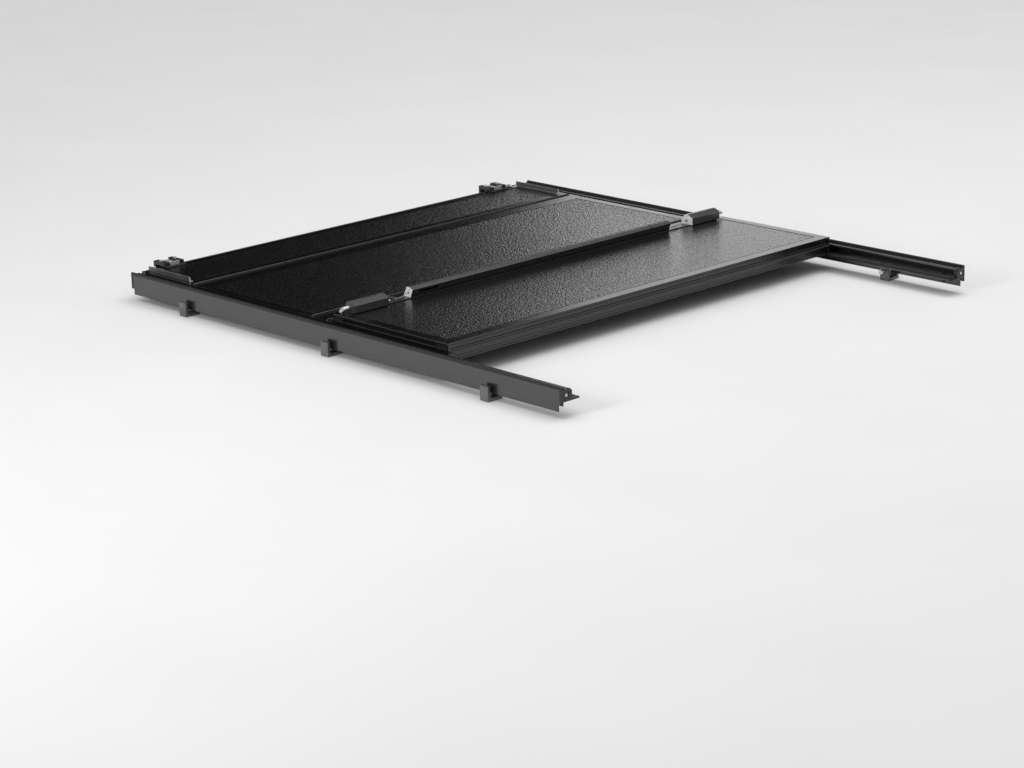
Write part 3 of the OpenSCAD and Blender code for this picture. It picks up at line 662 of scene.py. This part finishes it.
def rail_fittings():
    dress("rail_top_seals", SEAL, 0.25)
    dress("ledge_seals", RUBBER, 0.3)
    dress("rail_end_caps", PLASTIC, 0.8)
    dress("clamp_bodies", GREY_Y, 1.2)
    turn = Matrix.Rotation(math.pi / 2, 3, "X")
    head = screw_head(4.2, 1.6).turned_by(turn)
    screws = Shape()
    for low, high in solids("rail_end_caps"):
        if low.x > 0:
            facing = 1 if high.y > 0 else -1
            outer = high.y if facing > 0 else low.y
            made = head if facing < 0 else head.mirrored(1)
            screws.add(made.moved(783, outer - 1.95 * facing, -14.5))
    piece("end_cap_screws", screws.both_sides(), ZINC, "root", bevel=0.12)
    nipples = Shape()
    for y in NIPPLE_YS:
        nipples.add(drain_nipple().moved(NIPPLE_X, y, 0))
    piece("drain_spouts", nipples.both_sides(), PLASTIC, "root", ("drain_nipples",),
          bevel=0.15)


def drain_nipple():
    """A barbed spout with a flange, hollow from end to end."""
    profile = [(-25.6, 7.2), (-25.9, 7.5), (-26.5, 7.5), (-26.5, 5.9), (-29.6, 5.9), (-29.6, 6.5)]
    for k in range(4):
        top = -31 - 4.4 * k
        profile += [(top, 6.5), (top, 5.6), (top - 0.8, 5.6), (top - 3.4, 6.4 - 0.08 * k)]
    profile += [(-48.6, 5.5), (-49.6, 5.0)]
    return lathe_loop([*profile, (-49.6, 4.0), (-25.6, 4.0)], "z", (0, 0, 0), 36)


def clamp_screws():
    """Clamp bolts with hexagon heads, threads and swivel pads."""
    shape = Shape()
    for y in CLAMP_YS:
        hexagon = prism(rounded(ring((y, CLAMP_Z), 7.5, 6, math.pi / 6), 0.6, 2), "x", 748, 753.5)
        shape.add(minus(hexagon, prism(ring((y, CLAMP_Z), 3.2, 6), "x", 744, 750)))
        shape.add(threaded(752, 791.2, 4.0, 0.5, 1.6, "x", (0, y, CLAMP_Z)))
        shape.add(turned([(791, 6.2), (791.8, 7), (794.3, 7), (794.9, 6.4)], "x", (0, y, CLAMP_Z), 32))
    piece("clamp_screws", shape.both_sides(), ZINC, "root", ("clamp_bolts",), bevel=0.25)


# ---------- front panel's fittings ----------

def front_fittings():
    dress("bulkhead_seal", RUBBER, 0.3)
    dress("front_side_trims", GREY_Y, 0.7, cut_face=CUT, cut_axis=1)
    dress("cab_brackets", PLASTIC, 1.6)
    dress("cab_bracket_hooks", PAINT, 0.7)
    dress("mounting_knobs", PLASTIC, 0.7)
    screws = Shape()
    for place in ((624, 902, 13), (648, 896, 7), (675, 902, 13)):
        screws.add(socket_screw(5, 2.5, 7, 1).moved(*place))
    piece("bracket_bolts", screws.both_sides(), ZINC, "root", ("cab_bracket_screws",),
          bevel=0.15)
    corner_straps()


def corner_straps():
    """Bright straps at the front corners, each with a screwed plate and a turned-up tab."""
    plate_outline = rounded(rectangle(703, 854, 725, 868), 3, 5)
    strap = prism(plate_outline, "z", -0.5, 2)
    strap.add(prism(rounded(rectangle(705, 866, 719, 890), 1.2, 3), "z", 0, 2))
    strap.add(prism(rounded([(887, -1.5), (890, -1.5), (890, 6, 1.4), (887, 6, 1.4)], 0.4), "x", 705, 719))
    strap.add(screw_head(4, 2.5).moved(718, 861, 2))
    piece("corner_straps", strap.both_sides(), ZINC, "root", ("corner_clips",), bevel=0.3)


# ---------- prop rods ----------

def prop_rods():
    """Two stay rods, with an eye at the pivot, a bent foot and rubber sleeves."""
    x, pivot_y, foot_y, z = 708, 450, 90, -34.5
    dress("prop_rod_mounts", GREY_Y, 0.5)
    for side, name in zip(SIDES, ("prop_rod_left", "prop_rod_right")):
        eye = lathe_loop([(-5.6, 5.9), (-5.0, 6.5), (5.0, 6.5), (5.6, 5.9), (5.6, 2.6), (-5.6, 2.6)],
                         "x", (x, pivot_y, z), 36)
        shank = [(x, pivot_y - 5.8, z), (x, pivot_y - 40, z), (x, foot_y + 60, z), (x, foot_y + 4, z)]
        bend = [(x, foot_y + 1.2, z), (x + 1.2, foot_y, z)]
        foot = [(x + 4, foot_y, z), (x + 22, foot_y, z)]
        rod = tube([*shank, *bend, *foot], 3.6, 20)
        sleeve = turned([(728, 3.4), (728.6, 4), (744.6, 4), (746, 3.0)], "x", (0, foot_y, z), 24)
        grip = turned([(26, 3.7), (27, 4), (70, 4), (71, 3.7)], "y", (x, foot_y, z), 24)
        metal, rubber = eye.add(rod), sleeve.add(grip)
        if side < 0:
            metal, rubber = metal.mirrored(), rubber.mirrored()
        piece(f"{name}_steel", metal, ZINC, name, (name,), bevel=0)
        piece(f"{name}_sleeves", rubber, RUBBER, name, bevel=0)


# ---------- latch on the rear panel ----------

BOLT_AXIS = (6.5, -14.5)
RAIL_END = 513
HOUSING_ENDS = (602, 722)


def from_latch(v, w):
    """A place in the latch's cross-section, as (Y, Z) with the rear panel folded forward."""
    return 4.5 - v, 25 - w


def latch():
    dress("tailgate_seal", RUBBER, 0.3)
    latch_rail()
    latch_housings()
    dress("latch_bolt_left", ZINC, 0.5)
    dress("latch_bolt_right", ZINC, 0.5)
    rail_plugs()
    springs()
    screws = Shape()
    for x in (545, 570):
        screws.add(screw_head(4, 2).moved(x, 13.5, 27))
    piece("strip_screws", screws.both_sides(), ZINC, "panel4", ("panel4_screws",),
          bevel=0.12)
    cable()


def grooved(start, end, places, width=1.2, depth=0.6):
    """Points from start towards end, with a small square groove at each of the places along the way."""
    start, end = Vector(start), Vector(end)
    along = (end - start).normalized()
    inward = Vector((-along.y, along.x)) * depth
    out = [start]
    for place in places:
        middle = start.lerp(end, place)
        near, far = middle - along * width / 2, middle + along * width / 2
        out += [near, near + inward, far + inward, far]
    return out


def latch_prism(outline, x0, x1, radius):
    """Extrudes an outline that is given in the latch's cross-section."""
    return prism([from_latch(*point) for point in rounded(outline, radius, 2)], "x", x0, x1)


def latch_rail():
    """The leaning hollow rail, grooved along its face and open at its bright cut ends, and its base strip."""
    face = grooved((24.5, -24.5), (14.5, 0), (0.12, 0.28, 0.44))
    slope = grooved((14, -30.4), (24.5, -24.5), (0.3, 0.62))
    outline = [(-14.5, 0), (-0.5, -28), (1.5, -30.4), (3.5, -30.4), (3.9, -31), (5.1, -31), (5.5, -30.4),
               (8.5, -30.4), (8.9, -31), (10.1, -31), (10.5, -30.4), *slope, *face, (14.5, 0)]
    tunnel = [(-10.5, -2), (11, -2), (19.5, -23.5), (14, -27.4), (3.5, -27.4)]
    rail = latch_prism(outline, -RAIL_END, RAIL_END, 0.25)
    inside = latch_prism(tunnel, -RAIL_END - 7, RAIL_END + 7, 0.8)
    grip = block((-486, -26, 37), (-416, -5.5, 45))
    notch = block((430, -26, 49), (434, 6, 66))
    rail = minus(rail, inside, grip, notch)
    strip = latch_prism([(-16, -2), (17, -2), (17, 0), (-16, 0)], -723, 723, 0.4)
    extrusion = piece("latch_rail_extrusion", rail, HOUSING, "panel4", ("latch_rail",),
                      bevel=0, cut_face=CUT)
    keep_cut_between(extrusion, RAIL_END - 3, RAIL_END + 3)
    # The base strip's dark colour is painted shade for the gaps between the rail and the housings.
    piece("latch_base_strip", strip, SHADED_BASE, "panel4", bevel=0)


def latch_housings():
    """The two slam-latch housings, grooved like the rail, bored for the bolt, with a bright inner end."""
    slope = grooved((11.5, -31.5), (26.5, -24.5), (0.22, 0.5, 0.78))
    face = grooved((28.5, -22), (28.5, -2), (0.3, 0.62))
    outline = [(-16, -2), (-16, -14), (-4, -30), (8, -32), *slope, (26.5, -24.5), *face, (28.5, -2)]
    axis = (0, *from_latch(*BOLT_AXIS))
    bore = turned([(601, 3.9), (609, 3.9), (609, 8.6), (694, 8.6), (694, 7.06), (723, 7.06)], "x", axis, 36)
    body = minus(latch_prism(outline, *HOUSING_ENDS, 0.3), bore)
    housings = piece("latch_housing_bodies", body.both_sides(), HOUSING, "panel4",
                     ("latch_housings",), bevel=0, cut_face=CUT)
    keep_cut_between(housings, HOUSING_ENDS[0] - 8, HOUSING_ENDS[0] + 8)


def springs():
    """The two return springs, each with its own copy of the mesh."""
    inner, outer, travel = 610.6, 687.9, 18.0
    coils = tube(helix(inner + 0.9, outer - inner - 1.8, from_latch(*BOLT_AXIS), 5.7, 9), 0.85, 10)
    for side, name in zip(SIDES, ("left", "right")):
        shape = coils if side > 0 else coils.mirrored()
        spring = piece(f"bolt_spring_{name}", shape, ZINC, "panel4", ("latch_springs",),
                       bevel=0)
        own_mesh(spring)


def rail_plugs():
    """Bright plugs in the two cut ends of the latch rail, holed for the cable and for a screw."""
    corners = ((-10.2, -2.3), (10.8, -2.3), (19.2, -23.6), (13.9, -27.1), (3.7, -27.1))
    hollow = [from_latch(v, w) for v, w in corners]
    holes = [ring(from_latch(*BOLT_AXIS), 3.2, 20), ring(from_latch(10.5, -23.5), 2.1, 20)]
    plug = prism(rounded(hollow, 1.2), "x", RAIL_END - 5, RAIL_END - 0.3, holes)
    piece("latch_rail_plugs", plug.both_sides(), CUT, "panel4", bevel=0)


def cable():
    """Wire rope between the two bolts: a core with three strands laid round it. It dips in the two gaps
    between the latch rail and the housings."""
    half = [(606, -14.5), (580, -14.5), (568.5, -12.5), (558.5, -8.5), (546.5, -6), (532.5, -8.5),
            (522.5, -12.5), (509, -14.5), (453, -14.5)]
    places = [(x, *from_latch(BOLT_AXIS[0], w)) for x, w in [*half, (200, -14.5), (0, -14.5)]]
    places += [(-x, y, z) for x, y, z in reversed(places[:-1])]
    route = smooth_route(places, 1.3)
    shape = tube(route[::4] + [route[-1]], 0.8, 10)
    for phase in range(3):
        shape.add(tube(strand(route, 0.68, phase * 2 * math.pi / 3), 0.5, 6))
    piece("wire_rope", shape, WIRE, "panel4", ("release_cable",), bevel=0)


def strand(route, radius, phase, lay=9):
    """One strand that winds about a route in a plane across Y, once round in every lay of its way."""
    out, travelled = [], 0.0
    for i, point in enumerate(route):
        before, after = route[max(i - 1, 0)], route[min(i + 1, len(route) - 1)]
        travelled += (point - before).length
        heading = (after - before).normalized()
        across, angle = Vector((0, 1, 0)).cross(heading), 2 * math.pi * travelled / lay + phase
        out.append(point + radius * (math.cos(angle) * Vector((0, 1, 0)) + math.sin(angle) * across))
    return out


# ---------- studio ----------

CAMERA_PLACE = Vector((-5.1887, -5.3643, 1.8894))
YAW, PITCH, ROLL = math.radians(43.30), math.radians(16.585), math.radians(-1.63)
LENS, SENSOR = 94.97, 36
AHEAD = Vector((math.sin(YAW), math.cos(YAW), 0))
ACROSS = Vector((math.cos(YAW), -math.sin(YAW), 0))


def camera():
    forward = AHEAD * math.cos(PITCH) - Vector((0, 0, math.sin(PITCH)))
    up = ACROSS.cross(forward)
    right = math.cos(ROLL) * ACROSS + math.sin(ROLL) * up
    up = math.cos(ROLL) * up - math.sin(ROLL) * ACROSS
    data = bpy.data.cameras.new("camera")
    data.lens, data.sensor_width, data.clip_end = LENS, SENSOR, 100
    thing = bpy.data.objects.new("camera", data)
    turn = Matrix((right, up, -forward)).transposed().to_4x4()
    thing.matrix_world = Matrix.Translation(CAMERA_PLACE) @ turn
    bpy.context.scene.collection.objects.link(thing)
    bpy.context.scene.camera = thing


AMBIENT, SOFTBOX = 0.56, 1.6
UP = Vector((0, 0, 1))


def floor():
    finish = Finish("floor_paint")
    finish.colours(finish.noise(2, 3), grey(0.78), grey(0.80))
    finish.gloss(finish.noise(3, 3), 0.8, 0.9)
    mesh = bpy.data.meshes.new("floor")
    half, z = 30, cad_box[0][2] - 0.0002
    mesh.from_pydata([(x, y, z) for x, y in rectangle(-half, -half, half, half)], [], [(0, 1, 2, 3)])
    mesh.materials.append(finish.material)
    thing = bpy.data.objects.new("floor", mesh)
    bpy.context.scene.collection.objects.link(thing)


def dome():
    """A pale studio dome, with a softbox low behind the passenger side and a black flag beside it."""
    world = bpy.data.worlds.new("studio")
    bpy.context.scene.world = world
    world.use_nodes = True
    tree = world.node_tree
    where = tree.nodes.new("ShaderNodeTexCoord").outputs["Generated"]

    def ramped(axis, start, end, low=0.0, high=1.0):
        dot = tree.nodes.new("ShaderNodeVectorMath")
        dot.operation = "DOT_PRODUCT"
        dot.inputs[1].default_value = axis
        tree.links.new(where, dot.inputs[0])
        mask = tree.nodes.new("ShaderNodeMapRange")
        for socket, value in (("From Min", start), ("From Max", end), ("To Min", low), ("To Max", high)):
            mask.inputs[socket].default_value = value
        tree.links.new(dot.outputs["Value"], mask.inputs["Value"])
        return mask.outputs["Result"]

    def maths(operation, a, b):
        node = tree.nodes.new("ShaderNodeMath")
        node.operation = operation
        for socket, value in zip(node.inputs, (a, b)):
            if isinstance(value, float):
                socket.default_value = value
            else:
                tree.links.new(value, socket)
        return node.outputs["Value"]

    low_behind = maths("MULTIPLY", ramped(AHEAD, 0.2, 0.5), ramped(UP, 0.80, 0.66))
    softbox = maths("MULTIPLY", ramped(ACROSS, 0.012, 0.022), ramped(UP, 0.43, 0.20, 0.1, SOFTBOX))
    change = maths("MULTIPLY", low_behind, maths("ADD", softbox, -AMBIENT))
    front_shade = ramped(AHEAD, -0.1, -0.7, 0.0, -0.25)
    overhead = ramped(UP, 0.45, 0.95, 0.0, 0.8)
    total = maths("ADD", maths("ADD", change, overhead), maths("ADD", front_shade, AMBIENT))
    background = tree.nodes["Background"]
    background.inputs["Color"].default_value = (1.0, 1.0, 1.0, 1.0)
    tree.links.new(maths("MAXIMUM", total, 0.004), background.inputs["Strength"])


def soft_light(name, place, aim, size, power, spread=math.pi, mirrored=True):
    """A round soft light that fans out over the angle spread, and that shiny surfaces mirror or not."""
    data = bpy.data.lights.new(name, "AREA")
    data.shape, data.size, data.energy, data.spread = "DISK", size, power, spread
    thing = bpy.data.objects.new(name, data)
    thing.location = place
    thing.rotation_euler = (Vector(aim) - Vector(place)).to_track_quat("-Z", "Y").to_euler()
    thing.visible_glossy = mirrored
    bpy.context.scene.collection.objects.link(thing)


def studio():
    floor()
    dome()
    soft_light("key", (1.5, -1.0, 5.0), (0, 0, 0), 3.0, 55)
    soft_light("side_fill", (-6.0, -0.5, 2.2), (0, 0, 0), 1.6, 30, math.radians(80), False)
    bpy.context.scene.view_settings.view_transform = "Standard"


panels()
corner_caps()
side_rails()
rail_fittings()
clamp_screws()
front_fittings()
prop_rods()
latch()
camera()
studio()
